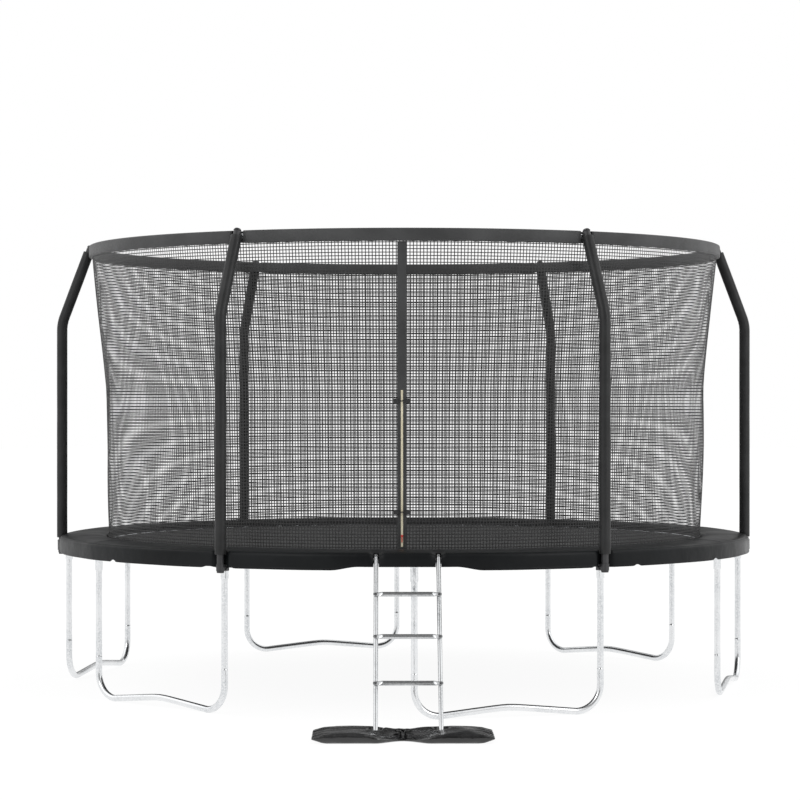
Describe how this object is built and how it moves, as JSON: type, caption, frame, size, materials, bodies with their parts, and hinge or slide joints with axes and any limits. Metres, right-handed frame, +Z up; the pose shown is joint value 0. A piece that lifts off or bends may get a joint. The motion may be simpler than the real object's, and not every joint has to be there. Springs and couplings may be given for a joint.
{
  "type": "backyard trampoline",
  "caption": "Round garden trampoline with six padded enclosure poles, a zipped safety net, a padded spring cover and a hook-on ladder.",
  "frame": {"origin": "middle of the footprint on the ground, ladder and bag included", "axes": "+Z up, -Y towards the ladder and the net's entrance, +X to the right seen from the ladder"},
  "size_m": [4.386, 5.2926, 2.7461],
  "materials": {
    "galvanised": "bright galvanised steel tube, smooth",
    "black_tube": "black powder coat, satin",
    "foam": "black closed-cell foam in a thin skin, matt",
    "cap_plastic": "moulded black plastic, fine texture",
    "band_fabric": "dark grey woven polyester, matt",
    "net_mesh": "black knotless polyethylene netting",
    "webbing": "dark grey polyester webbing",
    "zip_teeth": "cream moulded zip teeth",
    "slider_red": "red enamelled slider and pull",
    "mat_weave": "black woven polypropylene, tight and faintly shiny",
    "spring_steel": "zinc-plated spring steel",
    "pad_vinyl": "black PVC tarpaulin, semi-gloss",
    "bag_vinyl": "black PVC, glossy and creased"
  },
  "bodies": {
    "frame": {"frame_rail_1": "galvanised", "leg_1": "galvanised", "pole_1": "black_tube", "foam_sleeve_1": "foam", "pole_cap_1": "cap_plastic", "pole_clamp_1": "galvanised", "frame_rail_2": "galvanised", "leg_2": "galvanised", "pole_2": "black_tube", "foam_sleeve_2": "foam", "pole_cap_2": "cap_plastic", "pole_clamp_2": "galvanised", "frame_rail_3": "galvanised", "leg_3": "galvanised", "pole_3": "black_tube", "foam_sleeve_3": "foam", "pole_cap_3": "cap_plastic", "pole_clamp_3": "galvanised", "frame_rail_4": "galvanised", "leg_4": "galvanised", "pole_4": "black_tube", "foam_sleeve_4": "foam", "pole_cap_4": "cap_plastic", "pole_clamp_4": "galvanised", "frame_rail_5": "galvanised", "leg_5": "galvanised", "pole_5": "black_tube", "foam_sleeve_5": "foam", "pole_cap_5": "cap_plastic", "pole_clamp_5": "galvanised", "frame_rail_6": "galvanised", "leg_6": "galvanised", "pole_6": "black_tube", "foam_sleeve_6": "foam", "pole_cap_6": "cap_plastic", "pole_clamp_6": "galvanised", "top_ring_1": "galvanised", "top_ring_2": "galvanised", "top_ring_3": "galvanised", "ring_sleeve": "band_fabric", "net": "net_mesh", "entrance_band": "webbing", "zip_chain": "zip_teeth", "buckle_socket_lower": "cap_plastic", "buckle_socket_upper": "cap_plastic", "spring_ring": "spring_steel", "safety_pad": "pad_vinyl", "sand_bag": "bag_vinyl"},
    "mat": {"mat": "mat_weave"},
    "slider": {"zip_slider": "slider_red"},
    "lower_tongue": {"buckle_tongue_lower": "cap_plastic"},
    "upper_tongue": {"buckle_tongue_upper": "cap_plastic"},
    "ladder": {"ladder_hook_left": "galvanised", "ladder_hook_right": "galvanised", "ladder_rail_left": "galvanised", "ladder_rail_right": "galvanised", "rung_1": "galvanised", "rung_2": "galvanised", "rung_3": "galvanised"}
  },
  "joints": [
    {"name": "mat_bounce", "type": "slide", "parent": "frame", "child": "mat", "axis": [0, 0, -1], "range_m": [0, 0.25], "stiffness_N_per_m": 5000, "springref_m": -0.00385, "deforming": ["spring_ring"]},
    {"name": "zip_slide", "type": "slide", "parent": "frame", "child": "slider", "axis": [-0.0009, -0.0267, 0.9996], "range_m": [0, 0.8]},
    {"name": "lower_buckle_release", "type": "slide", "parent": "frame", "child": "lower_tongue", "axis": [-0.9995, 0.0332, 0], "range_m": [0, 0.04]},
    {"name": "upper_buckle_release", "type": "slide", "parent": "frame", "child": "upper_tongue", "axis": [-0.9995, 0.0332, 0], "range_m": [0, 0.04]},
    {"name": "ladder_swing", "type": "hinge", "parent": "frame", "child": "ladder", "pos_m": [-0.03902, -1.62634, 0.872], "axis": [-0.9998, 0.0185, 0], "range_deg": [0, 45]}
  ]
}
